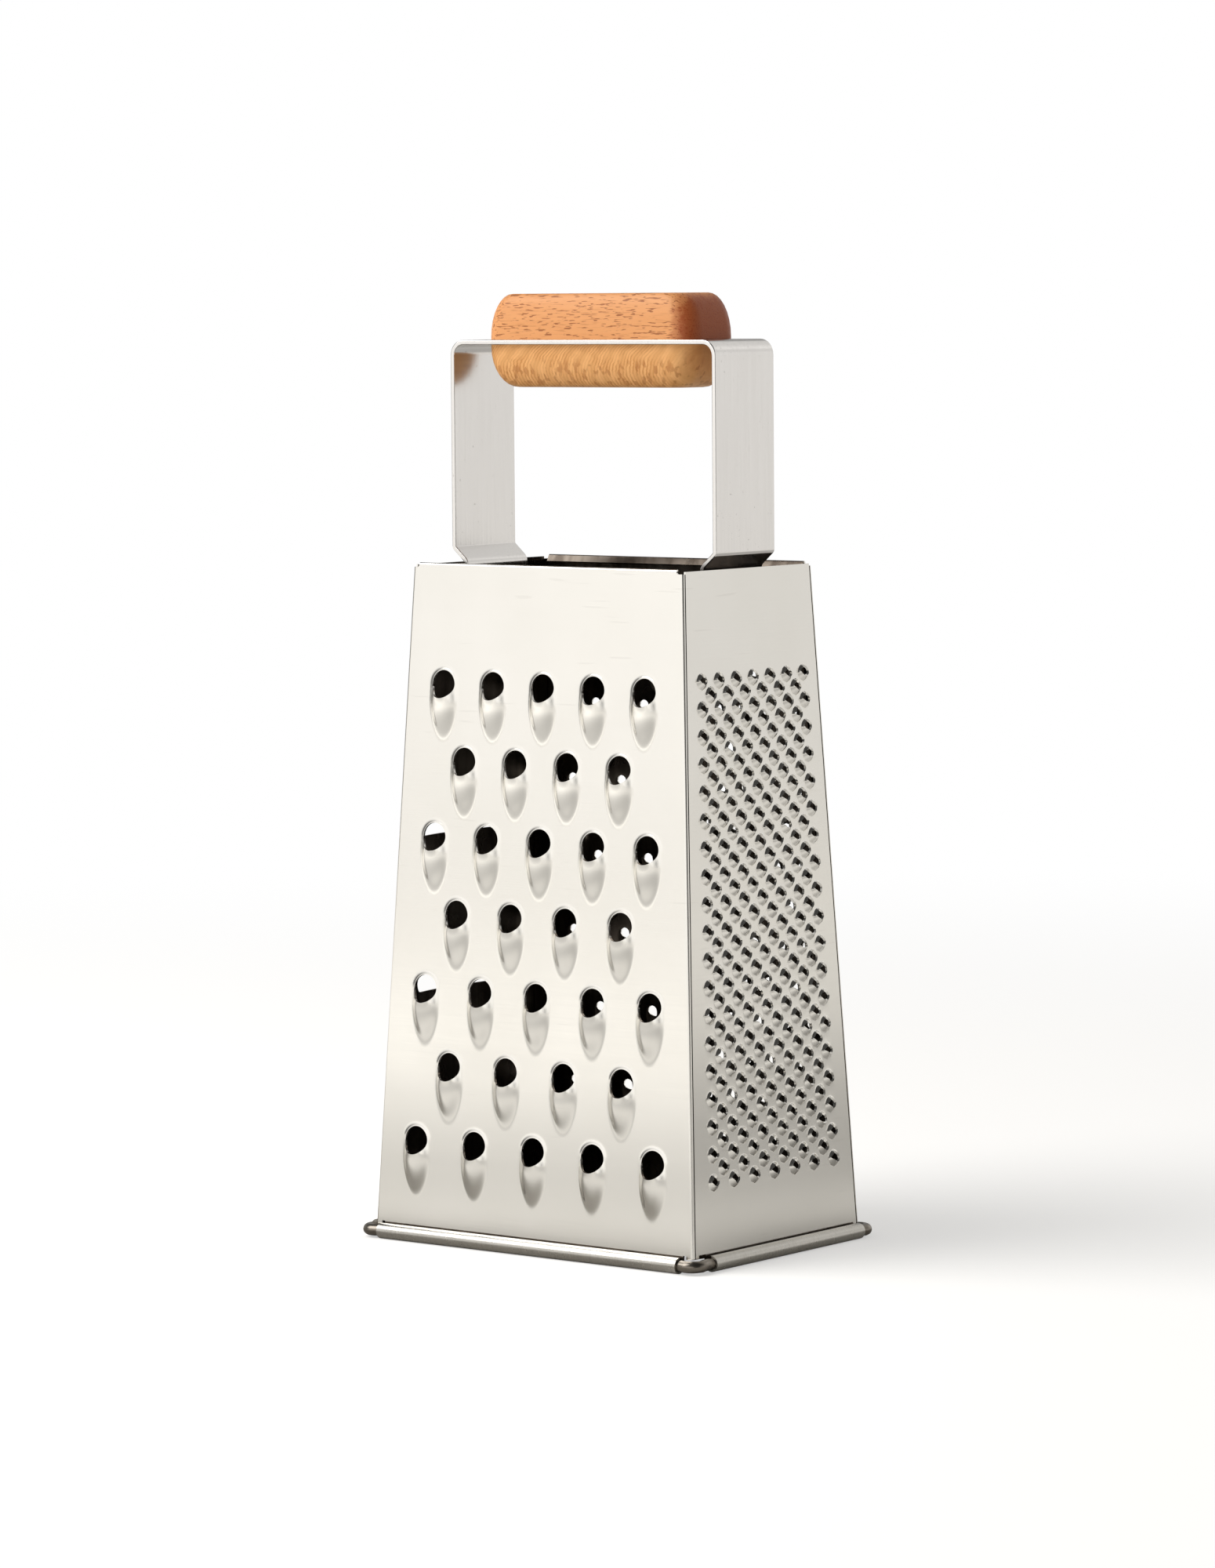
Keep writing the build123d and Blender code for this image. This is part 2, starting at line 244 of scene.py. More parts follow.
def fillSheet(name, outline, patches):
    # Flat sheet between the outline and the seams of the teeth
    piece = joinAll([addLoop(name, outline)] + patches, name)
    mesh = edit(piece)
    for edge in mesh.edges:
        edge.select = edge.seam or not edge.link_faces
    bpy.ops.mesh.select_mode(type="EDGE")
    bpy.ops.mesh.fill(use_beauty=True)
    bpy.ops.mesh.select_all(action="SELECT")
    bpy.ops.mesh.normals_make_consistent(inside=False)
    finishEdit()
    largest = max(piece.data.polygons, key=lambda polygon: polygon.area)
    if largest.normal.y > 0:
        piece.data.flip_normals()
    return piece


def cutShade(piece, rollStart, rollEnd):
    # A level cut just above the roll, because the strip behind it lies in the dark and gets painted shade,
    # the dark inside finish
    shadeUp = body["shade"] * mm
    edit(piece)
    bpy.ops.mesh.select_all(action="SELECT")
    bpy.ops.mesh.bisect(plane_co=(0, 0, shadeUp), plane_no=(0, 0, 1))
    finishEdit()
    # the strip behind the roll is tagged lap so that it gets painted shade
    tagFaces(piece, "lap", lambda place: place.z < shadeUp and rollStart * mm < place.x < rollEnd * mm)


def foldHem(piece, wall, hemHalf):
    hemUp = (wall.top - body["hemBend"]) * mm
    turn, halfWidth = math.radians(body["hemTurn"]), (hemHalf + body["hemSlack"]) * mm
    bendEdge(piece, lambda place: abs(place.z - hemUp) < close and abs(place.x) < halfWidth,
             -turn, body["hemSteps"], (0, body["hemBend"] * mm, hemUp), (1, 0, 0))
    pushEdge((0, body["hemFlange"] * math.sin(turn) * mm, body["hemFlange"] * math.cos(turn) * mm))
    finishEdit()
    # the hem's flange inside the top gets painted shade, the dark inside finish
    tagFaces(piece, "lap", lambda place: place.y > body["hemBend"] * mm)


def rollFoot(piece, wall):
    rollUp, rollTop = wall.wireUp() * mm, (wall.wireUp() + body["rollRadius"]) * mm
    axisDepth, slack = -body["rollRadius"] * mm, body["rollSlack"] * mm
    bendEdge(piece, lambda place: abs(place.z - rollUp) < close and abs(place.y) < close,
             -math.radians(body["rollTurn"]), body["rollSteps"], (0, axisDepth, rollUp), (1, 0, 0))
    finishEdit()
    tagFaces(piece, "roll", lambda place: place.y < -slack and place.z < rollTop)
    # the roll's part between its axis and the wall gets painted shade, the dark inside finish
    tagFaces(piece, "lap", lambda place: axisDepth < place.y < -slack and rollUp < place.z < rollTop)


def makeWall(name, wall, inset, hemHalf, notched, rollStart, rollEnd, patches):
    piece = fillSheet(name, wallOutline(wall, inset, hemHalf, notched, rollStart, rollEnd), patches)
    cutShade(piece, rollStart, rollEnd)
    foldHem(piece, wall, hemHalf)
    rollFoot(piece, wall)
    piece.data.transform(wall.matrix())
    return piece


def foldCorner(piece, wall, side):
    # Corner bend, short return, step inwards and lap flange at one end of a wide wall, in the body's frame
    foot = Vector((side * wall.footSpan, -wall.footReach, 0)) * mm
    top = Vector((side * wall.topSpan, -wall.topReach, body["height"])) * mm
    along = (top - foot).normalized()
    outward = wall.matrix().to_3x3() @ Vector((0, -1, 0))
    crossOut = Vector((side * math.cos(narrow.lean), 0, math.sin(narrow.lean)))
    bend = body["cornerBend"] * mm
    across = along.cross(outward) * side
    across = across if across.x * side > 0 else -across
    center = foot - outward * bend - across * bend
    turn = math.acos(outward.dot(crossOut))

    def onEdge(place):
        offset = place - (center + outward * bend)
        return (offset - along * offset.dot(along)).length < 2 * close

    bendEdge(piece, onEdge, side * turn, body["cornerSteps"], center, along)
    inward = along.cross(crossOut)
    inward = inward if inward.y > 0 else -inward
    pushEdge(inward * body["cornerReturn"] * mm)
    pushEdge((inward * body["joggleRun"] - crossOut * body["joggleStep"]) * mm)
    pushEdge(inward * body["lap"] * mm)
    finishEdit()

    def onLap(place):
        behind = place.y + wall.footReach * mm - place.z * math.tan(wall.lean)
        depth = narrow.footReach * mm - place.z * math.tan(narrow.lean) - place.x * side
        shallow, deep = body["lapDepths"]
        return behind > (body["cornerBend"] - body["bendSlack"]) * mm and shallow * mm < depth < deep * mm

    # the lap flange behind the narrow wall gets painted shade, the dark inside finish
    tagFaces(piece, "lap", onLap)


def finishSheet(piece, name):
    # Thickness, then the finish of each side
    edit(piece)
    bpy.ops.mesh.select_all(action="SELECT")
    bpy.ops.mesh.normals_make_consistent(inside=False)
    finishEdit()
    largest = max(piece.data.polygons, key=lambda polygon: polygon.area)
    if largest.normal.x * largest.center.x + largest.normal.y * largest.center.y < 0:
        piece.data.flip_normals()
    for slot in sideSlots:
        piece.data.materials.append(finishes[sheetSlots[slot]])
    applyModifier(piece, "SOLIDIFY", thickness=body["sheet"] * mm, offset=-1, use_even_offset=True,
                  material_offset=1, material_offset_rim=2)
    slots = [sideSlots[face.material_index] for face in piece.data.polygons]
    piece.data.materials.clear()
    for finish in sheetSlots:
        piece.data.materials.append(finishes[finish])
    for face, slot in zip(piece.data.polygons, slots):
        face.material_index = slot
    smooth(piece, body["sharpAngle"], weighted=True)
    piece.name = name
    return piece


# Teeth: patches of sheet round one tooth each

coarse = {
    "rows": 7, "count": 5, "countStep": -1, "firstRow": 145.0, "rowPitch": 19.77,
    "firstPitch": 16.3, "lastPitch": 19.3,
    "hole": 3.65, "points": 44, "rings": 13, "side": 5.9, "above": 5.3, "below": 15.3, "fadeFrom": 0.85,
    "radius": 5.2, "axis": 3.2, "waist": 4.0, "arc": 22.0, "soft": 0.75, "mouthLow": -3.6, "mouthHigh": 0.2,
    "rim": 0.18, "rimWidth": 0.6,
}
medium = {
    "rows": 13, "count": 9, "countStep": 1, "firstRow": 147.0, "rowPitch": 10.23,
    "firstPitch": 7.95, "lastPitch": 8.95,
    "hole": 1.55, "points": 12, "rings": 4, "side": 2.7, "above": 2.3, "below": 7.2, "fadeFrom": 0.85,
    "radius": 2.2, "axis": 1.15, "waist": 1.8, "arc": 8.5, "soft": 0.25, "mouthLow": -1.7, "mouthHigh": 0.3,
    "rim": 0.06, "rimWidth": 0.4,
}


def toothPlaces(form):
    # Staggered rows of teeth from the top down, as (across, up) in millimetres
    places = []
    for row in range(form["rows"]):
        inRow = form["count"] + form["countStep"] * (row % 2)
        pitch = form["firstPitch"] + (form["lastPitch"] - form["firstPitch"]) * row / (form["rows"] - 1)
        for column in range(inRow):
            places.append(((column - (inRow - 1) / 2) * pitch, form["firstRow"] - row * form["rowPitch"]))
    return places


def hoodHeight(form, x, z):
    # Spindle of revolution whose axis lies behind the sheet, blended into it
    drop = max(0, -z - form["waist"])
    radius = form["radius"] - form["arc"] + math.sqrt(max(form["arc"] ** 2 - drop ** 2, 0))
    inside = radius ** 2 - x ** 2
    raw = math.sqrt(inside) - form["axis"] if inside > 0 else -form["axis"]
    hood = smoothMax(raw, form["soft"]) * (1 - smoothStep(form["mouthLow"], form["mouthHigh"], z))
    away = max(math.hypot(x, z) - form["hole"], 0)
    return hood + form["rim"] * math.exp(-((away / form["rimWidth"]) ** 2))


def markBorder(piece, count):
    # The outer ring is marked as a seam, where the flat sheet joins on
    mesh = edit(piece)
    outer = set(mesh.verts[-count:])
    for edge in mesh.edges:
        edge.seam = edge.verts[0] in outer and edge.verts[1] in outer
    bmesh.update_edit_mesh(piece.data)
    finishEdit()
    return piece


def hoodPatch(name, form):
    circle, border = [], []
    for index in range(form["points"]):
        angle = 2 * math.pi * index / form["points"]
        x, z = math.sin(angle), math.cos(angle)
        circle.append((form["hole"] * x, form["hole"] * z))
        border.append((form["side"] * x, (form["above"] if z > 0 else form["below"]) * z))
    rings = []
    for ring in range(form["rings"] + 1):
        share = ring / form["rings"]
        flat = [(a[0] + (b[0] - a[0]) * share, a[1] + (b[1] - a[1]) * share) for a, b in zip(circle, border)]
        fade = 1 - smoothStep(form["fadeFrom"], 1.0, share)
        rings.append([Vector((x, -hoodHeight(form, x, z) * fade, z)) * mm for x, z in flat])
    piece = growRings(addLoop(name, rings[0]), rings[1:])
    return markBorder(piece, form["points"])


def spread(patch, form):
    copies = [copyTo(patch, Matrix.Translation((x * mm, 0, z * mm))) for x, z in toothPlaces(form)]
    bpy.data.objects.remove(patch)
    return copies


fine = {
    "rows": 37, "count": 7, "countStep": -1, "firstRow": 147.8, "rowPitch": 3.5,
    "firstPitch": 7.2, "lastPitch": 8.63,
    "points": 12, "border": 2.45, "dome": 2.2, "peak": 1.25, "mouth": 1.3, "lift": 0.42, "lipGap": 0.08,
    "skirt": 0.03, "burr": 0.22, "burrRange": (0.3, 1.2), "ragged": 0.12, "sizeRange": (-0.08, 0.08),
    # how far the torn mouth reaches beyond its ring at each point, clockwise from the top
    "tears": (0.55, -0.12, 0.0, 0.42, -0.05, -0.1, 0.0, -0.1, -0.05, 0.38, 0.0, -0.08),
}


def burstPatch(name, form, x, z):
    # Dome burst open from inside: a ragged mouth above its middle, torn to the left, top and right
    def dome(reach):
        return form["peak"] * max(0.0, 1 - (reach / form["dome"]) ** 2)

    rings = [[], [], [], []]
    bigger = random.uniform(*form["sizeRange"])
    for index in range(form["points"]):
        angle = 2 * math.pi * index / form["points"]
        mouth = form["mouth"] + form["tears"][index] + bigger + random.uniform(-1, 1) * form["ragged"]
        lip = Vector((mouth * math.sin(angle), form["lift"] + mouth * math.cos(angle)))
        reach = min(lip.length, form["dome"] - form["lipGap"])
        way = lip.normalized()
        middle = (reach + form["dome"]) / 2
        rings[0].append((way * reach, dome(reach) + form["burr"] * random.uniform(*form["burrRange"])))
        rings[1].append((way * middle, dome(middle)))
        rings[2].append((way * form["dome"], form["skirt"]))
        rings[3].append((way * form["border"], 0.0))
    rings = [[Vector((x + place.x, -height, z + place.y)) * mm for place, height in ring] for ring in rings]
    piece = growRings(addLoop(name, rings[0]), rings[1:])
    return markBorder(piece, form["points"])


slicer = {
    "heights": (104.0, 62.7), "half": 22.0, "slot": 4.8, "endBend": 2.2, "straight": 10, "bendPoints": 4,
    "rings": 9, "side": 4.4, "above": 2.6, "below": 15.0, "spread": 1.5, "fadeFrom": 0.9,
    # the bulge: its height, how far it runs down and up, and how it falls off
    "rise": 2.2, "reach": 13.0, "reachUp": 1.6, "fallPower": 1.4, "endMargin": 0.6, "endPower": 3,
}


def ovalLoop(halfWidth, low, high, bend):
    # Rounded slot, clockwise from its upper left, with more points along its length
    points = []
    centers = ((halfWidth - bend, high - bend, 90), (halfWidth - bend, low + bend, 0),
               (bend - halfWidth, low + bend, 270), (bend - halfWidth, high - bend, 180))
    for x, z, start in centers:
        side = 1 if z > (low + high) / 2 else -1
        if side * x > 0:
            run = halfWidth - bend
            edge = high if side > 0 else low
            for index in range(1, slicer["straight"]):
                points.append((side * run * (2 * index / slicer["straight"] - 1), edge))
        for step in range(slicer["bendPoints"] + 1):
            angle = math.radians(start - 90 * step / slicer["bendPoints"])
            points.append((x + bend * math.cos(angle), z + bend * math.sin(angle)))
    return points


def slotPatch(name, z):
    # Long slot over a shallow blade that bulges outwards
    half, bend, rows = slicer["half"], slicer["endBend"], slicer["rings"]
    inner = ovalLoop(half, 0, slicer["slot"], bend)
    outer = ovalLoop(half + slicer["side"], -slicer["below"], slicer["slot"] + slicer["above"],
                     bend + slicer["spread"])
    rings = []
    for ring in range(rows + 1):
        share = ring / rows
        row = []
        for a, b in zip(inner, outer):
            x, up = a[0] + (b[0] - a[0]) * share, a[1] + (b[1] - a[1]) * share
            below = max(0.0, -up)
            if below > 0:
                fall = max(0.0, 1 - (below / slicer["reach"]) ** slicer["fallPower"])
            else:
                fall = 1 - smoothStep(0, slicer["reachUp"], up)
            width = max(0.0, 1 - (abs(x) / (half + slicer["endMargin"])) ** slicer["endPower"])
            height = slicer["rise"] * fall * width * (1 - smoothStep(slicer["fadeFrom"], 1.0, share))
            row.append(Vector((x, -height, z + up)) * mm)
        rings.append(row)
    piece = growRings(addLoop(name, rings[0]), rings[1:])
    return markBorder(piece, len(inner))


# Finishes

class Value:
    # One socket of a shader tree, so that shader maths reads as a Python expression
    def __init__(self, tree, socket):
        self.tree, self.socket = tree, socket

    def math(self, operation, first, second):
        return self.tree.add("ShaderNodeMath", {"operation": operation}, {0: first, 1: second})

    def __add__(self, other):
        return self.math("ADD", self, other)

    def __radd__(self, other):
        return self.math("ADD", other, self)

    def __sub__(self, other):
        return self.math("SUBTRACT", self, other)

    def __rsub__(self, other):
        return self.math("SUBTRACT", other, self)

    def __mul__(self, other):
        return self.math("MULTIPLY", self, other)

    def __rmul__(self, other):
        return self.math("MULTIPLY", other, self)


class Tree:
    # The few calls that build a shader tree
    def __init__(self, tree):
        self.tree = tree

    def plug(self, socket, value):
        if isinstance(value, Value):
            self.tree.links.new(value.socket, socket)
        else:
            socket.default_value = value

    def add(self, kind, settings=None, inputs=None, output=0):
        node = self.tree.nodes.new(kind)
        for name, value in (settings or {}).items():
            setattr(node, name, value)
        for name, value in (inputs or {}).items():
            self.plug(node.inputs[name], value)
        return Value(self, node.outputs[output])

    def place(self, scale=(1, 1, 1)):
        # Object coordinates, stretched along each axis
        coordinates = self.add("ShaderNodeTexCoord", output="Object")
        return self.add("ShaderNodeVectorMath", {"operation": "MULTIPLY"}, {0: coordinates, 1: scale})

    def part(self, vector, axis):
        # One coordinate of a vector, 0 to 2
        return self.add("ShaderNodeSeparateXYZ", None, {0: vector}, output=axis)

    def toward(self, vector, way):
        # How far a vector points along a way
        return self.add("ShaderNodeVectorMath", {"operation": "DOT_PRODUCT"}, {0: vector, 1: way}, "Value")

    def noise(self, scale, detail=2, roughness=0.5, shift=(0, 0, 0), distortion=0):
        where = self.add("ShaderNodeVectorMath", {"operation": "ADD"}, {0: self.place(scale), 1: shift})
        return self.add("ShaderNodeTexNoise", None, {
            "Vector": where, "Scale": 1, "Detail": detail, "Roughness": roughness, "Distortion": distortion})

    def sine(self, phase):
        return self.add("ShaderNodeMath", {"operation": "SINE"}, {0: phase})

    def ramp(self, value, low, high):
        # 0 below low, 1 above high, smooth between them
        return self.add("ShaderNodeMapRange", {"interpolation_type": "SMOOTHSTEP"},
                        {"Value": value, "From Min": low, "From Max": high})

    def mix(self, factor, first, second):
        return self.add("ShaderNodeMix", {"data_type": "RGBA"}, {0: factor, 6: first, 7: second}, output=2)

    def bump(self, height, strength, distance):
        return self.add("ShaderNodeBump", None,
                        {"Height": height, "Strength": strength, "Distance": distance})


class Finish(Tree):
    # A material and its own shader
    def __init__(self, name):
        self.material = bpy.data.materials.new(name)
        self.material.use_nodes = True
        super().__init__(self.material.node_tree)
        self.shader = self.tree.nodes["Principled BSDF"]

    def set(self, **inputs):
        for name, value in inputs.items():
            self.plug(self.shader.inputs[name.replace("_", " ")], value)


steelTones = {
    "sheet": (0.86, 0.84, 0.80, 1), "sheetBlotch": (0.80, 0.78, 0.73, 1), "scratch": (0.55, 0.52, 0.47, 1),
    # the inside tones are painted shade, for the unlit inner side and the hidden laps
    "inside": (0.17, 0.145, 0.12, 1), "insideStreak": (0.06, 0.048, 0.038, 1),
    "insideCloud": (0.10, 0.08, 0.065, 1),
    "roll": (0.58, 0.56, 0.52, 1), "rollStain": (0.49, 0.47, 0.43, 1), "rollMark": (0.34, 0.31, 0.27, 1),
    "wire": (0.30, 0.27, 0.23, 1), "wireStain": (0.15, 0.13, 0.11, 1),
    "strap": (0.86, 0.84, 0.82, 1), "strapBrush": (0.78, 0.76, 0.74, 1), "pit": (0.35, 0.33, 0.30, 1),
    "screw": (0.62, 0.61, 0.60, 1), "screwTurned": (0.5, 0.49, 0.48, 1),
}


def sheetSteel():
    # Satin sheet with faint level brushing, soft blotches and a few hair scratches
    steel = Finish("sheetSteel")
    brush = steel.noise((55, 55, 2600), detail=3)
    streak = steel.noise((14, 14, 420), shift=(3, 1, 5))
    blotch = steel.noise((38, 38, 30), detail=3, shift=(7, 2, 1))
    scratch = steel.ramp(steel.noise((60, 60, 900), detail=1, shift=(1, 9, 4)), 0.70, 0.78)
    colour = steel.mix(blotch, steelTones["sheet"], steelTones["sheetBlotch"])
    colour = steel.mix(scratch * 0.12, colour, steelTones["scratch"])
    steel.set(Base_Color=colour, Metallic=1.0, Roughness=0.09 + brush * 0.05 + streak * 0.04 + blotch * 0.05,
              Normal=steel.bump(brush * 0.5 + streak * 0.5, 0.08, 0.00005))
    return steel.material


def paintedShadeInsideSteel():
    # Painted shade for the unlit inner side: dark brown grey, with soft upright streaks
    steel = Finish("paintedShadeInsideSteel")
    streak = steel.noise((260, 260, 14))
    cloud = steel.noise((60, 60, 40), detail=3, shift=(2, 8, 1))
    colour = steel.mix(steel.ramp(streak, 0.35, 0.7), steelTones["inside"], steelTones["insideStreak"])
    colour = steel.mix(cloud * 0.5, colour, steelTones["insideCloud"])
    steel.set(Base_Color=colour, Metallic=1.0, Roughness=0.2 + cloud * 0.15,
              Normal=steel.bump(streak, 0.1, 0.0001))
    return steel.material


def rollSteel():
    # The sheet's back, turned outwards: duller, with fine upright marks from the rolling
    steel = Finish("rollSteel")
    mark = steel.noise((1300, 1300, 120), detail=3)
    stain = steel.noise((45, 45, 200), detail=3, shift=(5, 1, 3))
    colour = steel.mix(stain, steelTones["roll"], steelTones["rollStain"])
    colour = steel.mix(steel.ramp(mark, 0.52, 0.75) * 0.25, colour, steelTones["rollMark"])
    steel.set(Base_Color=colour, Metallic=1.0, Roughness=0.22 + mark * 0.14,
              Normal=steel.bump(mark, 0.12, 0.00005))
    return steel.material


def wireSteel():
    # Darker drawn wire, rubbed along its length
    steel = Finish("wireSteel")
    rub = steel.noise((300, 300, 900), detail=3)
    stain = steel.noise((90, 90, 90), detail=4, shift=(4, 0, 2))
    colour = steel.mix(stain, steelTones["wire"], steelTones["wireStain"])
    steel.set(Base_Color=colour, Metallic=1.0, Roughness=0.22 + rub * 0.15,
              Normal=steel.bump(rub, 0.25, 0.00005))
    return steel.material


def strapSteel():
    # Strip brushed along its length, with tiny pits
    steel = Finish("strapSteel")
    brush = steel.noise((2200, 1500, 45), detail=3)
    pit = steel.ramp(steel.noise((1500, 1500, 1500), detail=1, shift=(2, 2, 2)), 0.72, 0.80)
    colour = steel.mix(brush, steelTones["strap"], steelTones["strapBrush"])
    colour = steel.mix(pit * 0.5, colour, steelTones["pit"])
    steel.set(Base_Color=colour, Metallic=1.0, Roughness=0.13 + brush * 0.12,
              Normal=steel.bump(brush - pit, 0.15, 0.00005))
    return steel.material


def screwSteel():
    steel = Finish("screwSteel")
    turned = steel.noise((900, 900, 900))
    colour = steel.mix(turned, steelTones["screw"], steelTones["screwTurned"])
    steel.set(Base_Color=colour, Metallic=1.0, Roughness=0.2 + turned * 0.15)
    return steel.material


# The right-end tones of both halves are painted shade, on the end that faces away from the lamp.
woodTones = {
    "upper": (0.95, 0.46, 0.195, 1), "upperGrain": (0.78, 0.33, 0.115, 1),
    "upperCloud": (0.82, 0.35, 0.13, 1), "thinPore": (0.42, 0.14, 0.04, 1),
    "pore": (0.28, 0.075, 0.02, 1), "paintedEndShade": (0.42, 0.075, 0.018, 1),
    "lower": (1.0, 0.54, 0.215, 1), "arc": (0.72, 0.31, 0.095, 1), "broadArc": (0.64, 0.26, 0.07, 1),
    "hair": (0.78, 0.36, 0.11, 1), "fleck": (0.46, 0.15, 0.035, 1), "lowerEndShade": (0.55, 0.17, 0.045, 1),
}
woodGloss = 0.25


def upperWood():
    # Flat-sawn beech: long grain with short reddish pores in rows, and painted shade darkening its right end
    wood = Finish("upperWood")
    grain = wood.noise((30, 700, 700), detail=4, roughness=0.6, shift=(2, 1, 5))
    cloud = wood.noise((45, 60, 90), shift=(6, 3, 2))
    pores = wood.ramp(wood.noise((360, 2500, 2500), detail=1, shift=(5, 3, 8)), 0.59, 0.65)
    thin = wood.ramp(wood.noise((200, 4200, 4200), detail=1, shift=(1, 7, 3)), 0.58, 0.70)
    colour = wood.mix(grain, woodTones["upper"], woodTones["upperGrain"])
    colour = wood.mix(cloud * 0.5, colour, woodTones["upperCloud"])
    colour = wood.mix(thin * 0.35, colour, woodTones["thinPore"])
    colour = wood.mix(pores * 0.75, colour, woodTones["pore"])
    # Painted shade: the right end and its corner darkened, with a ragged edge
    edge = wood.part(wood.place(), 0) + (wood.noise((60, 900, 900), detail=3) - 0.5) * 0.004
    paintedEndShade = wood.ramp(edge, 0.0272, 0.0290) * 0.40 + wood.ramp(edge, 0.0290, 0.0312) * 0.45
    colour = wood.mix(paintedEndShade, colour, woodTones["paintedEndShade"])
    wood.set(Base_Color=colour, Specular_IOR_Level=woodGloss, Roughness=0.34 + grain * 0.15,
             Normal=wood.bump(grain * 0.4 - pores, 0.3, 0.0001))
    return wood.material


def lowerWood():
    # Paler beech: its rings show as broken nested arcs, with rows of broad flecks, and painted shade at its
    # right end
    wood = Finish("lowerWood")
    along, height = wood.part(wood.place(), 0), wood.part(wood.place(), 2)
    rise = (height - 0.2243) * 100
    wander = wood.noise((55, 55, 130), detail=5, roughness=0.62, shift=(3, 5, 1))
    phase = along * 6000 - rise * rise * 55 + wander * 24
    arcs = wood.ramp(wood.sine(phase), -0.3, 0.9)
    arcs = arcs * (wood.ramp(wood.noise((150, 150, 300), shift=(7, 7, 1)), 0.35, 0.65) * 0.7 + 0.3)
    arcs = arcs * (1 - wood.ramp(along, 0.021, 0.030) * 0.8)
    broad = wood.sine(phase * 0.22 + wander * 6) * 0.5 + 0.5
    hair = wood.noise((500, 500, 1600), detail=3, shift=(8, 1, 4), distortion=0.6)
    fleck = wood.ramp(wood.noise((620, 620, 330), shift=(4, 4, 4)), 0.53, 0.61)
    middle = 1 - wood.ramp(rise * rise, 0.02, 0.20)
    colour = wood.mix(arcs, woodTones["lower"], woodTones["arc"])
    colour = wood.mix(broad * 0.35, colour, woodTones["broadArc"])
    colour = wood.mix(hair * 0.3, colour, woodTones["hair"])
    colour = wood.mix(fleck * (middle * 0.42 + 0.08), colour, woodTones["fleck"])
    # Painted shade: the right end darkened towards its edge
    edge = along + (wood.noise((60, 900, 900), detail=3) - 0.5) * 0.003
    colour = wood.mix(wood.ramp(edge, 0.0300, 0.0336) * 0.4, colour, woodTones["lowerEndShade"])
    wood.set(Base_Color=colour, Specular_IOR_Level=woodGloss, Roughness=0.36 + hair * 0.12,
             Normal=wood.bump(arcs * 0.5 + hair * 0.4, 0.2, 0.00008))
    return wood.material


finishes = {
    "sheet": sheetSteel(), "inside": paintedShadeInsideSteel(), "roll": rollSteel(), "wire": wireSteel(),
    "strap": strapSteel(), "screw": screwSteel(), "upperWood": upperWood(), "lowerWood": lowerWood(),
}


def dress(piece, finish):
    piece.data.materials.clear()
    piece.data.materials.append(finishes[finish])


def handOver(piece, node):
    # The piece takes the place of its CAD node
    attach(piece, "root")
    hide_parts(node)
    print("scene:", piece.name, len(piece.data.polygons), "faces")


def turnTo(piece, degrees):
    piece.data.transform(Matrix.Rotation(math.radians(degrees), 4, "Z"))


print("scene: walls")
wideStart, wideEnd = rollEnds(narrow, body["wideTrim"], body["wideTrim"])
narrowStart, narrowEnd = rollEnds(wide, body["narrowTrim"], 0.0)
wideHem = wide.topSpan - body["cornerBend"] - body["notch"]
narrowHem = narrow.topSpan - body["seam"]
for name, node, form, turn in (("coarseWall", "coarse_panel", coarse, 0),
                               ("mediumWall", "medium_panel", medium, 180)):
    teeth = spread(hoodPatch(name, form), form)
    panel = makeWall(name, wide, body["cornerBend"], wideHem, True, wideStart, wideEnd, teeth)
    for side in (-1, 1):
        foldCorner(panel, wide, side)
    turnTo(panel, turn)
    handOver(finishSheet(panel, name), node)
bursts = [burstPatch("punch", fine, x, z) for x, z in toothPlaces(fine)]
slots = [slotPatch("slot", narrow.up(height)) for height in slicer["heights"]]
for name, node, teeth, turn in (("fineWall", "fine_panel", bursts, 90),
                                ("slicerWall", "slicer_panel", slots, -90)):
    panel = makeWall(name, narrow, body["seam"], narrowHem, False, narrowStart, narrowEnd, teeth)
    turnTo(panel, turn)
    handOver(finishSheet(panel, name), node)

# Base wire

wire = {
    "radius": 1.5, "bend": 2.9, "bulge": 0.55, "run": 4.7, "bendSteps": 6, "roundSteps": 6, "sharpAngle": 50,
}


def addWire():
    # One ring drawn as a curve with rounded, bulged corners, then made a mesh
    side, back, rise = narrow.wireReach(), wide.wireReach(), body["rollRadius"] + body["sheet"]
    cornerX, cornerY, bend = side + wire["bulge"], back + wire["bulge"], wire["bend"]
    runX, runY = cornerX - wire["run"], cornerY - wire["run"]
    points = []
    for signX, signY in ((1, 1), (1, -1), (-1, -1), (-1, 1)):
        along, across = (signX * runX, signY * back), (signX * side, signY * runY)
        arc = []
        for step in range(wire["bendSteps"] + 1):
            angle = math.pi / 2 * step / wire["bendSteps"]
            arc.append((signX * (cornerX - bend + bend * math.sin(angle)),
                        signY * (cornerY - bend + bend * math.cos(angle))))
        points += [along] + arc + [across] if signX == signY else [across] + arc[::-1] + [along]
    curve = bpy.data.curves.new("wireRing", "CURVE")
    curve.dimensions = "3D"
    line = curve.splines.new("POLY")
    line.points.add(len(points) - 1)
    for point, (x, y) in zip(line.points, points):
        point.co = (x * mm, y * mm, rise * mm, 1)
    line.use_cyclic_u = True
    curve.bevel_depth = wire["radius"] * mm
    curve.bevel_resolution = wire["roundSteps"]
    piece = bpy.data.objects.new("wireRing", curve)
    bpy.context.collection.objects.link(piece)
    choose(piece)
    bpy.ops.object.convert(target="MESH")
    piece = bpy.context.object
    smooth(piece, wire["sharpAngle"])
    return piece


ring = addWire()
dress(ring, "wire")
handOver(ring, "base_wire")

# Handle strap

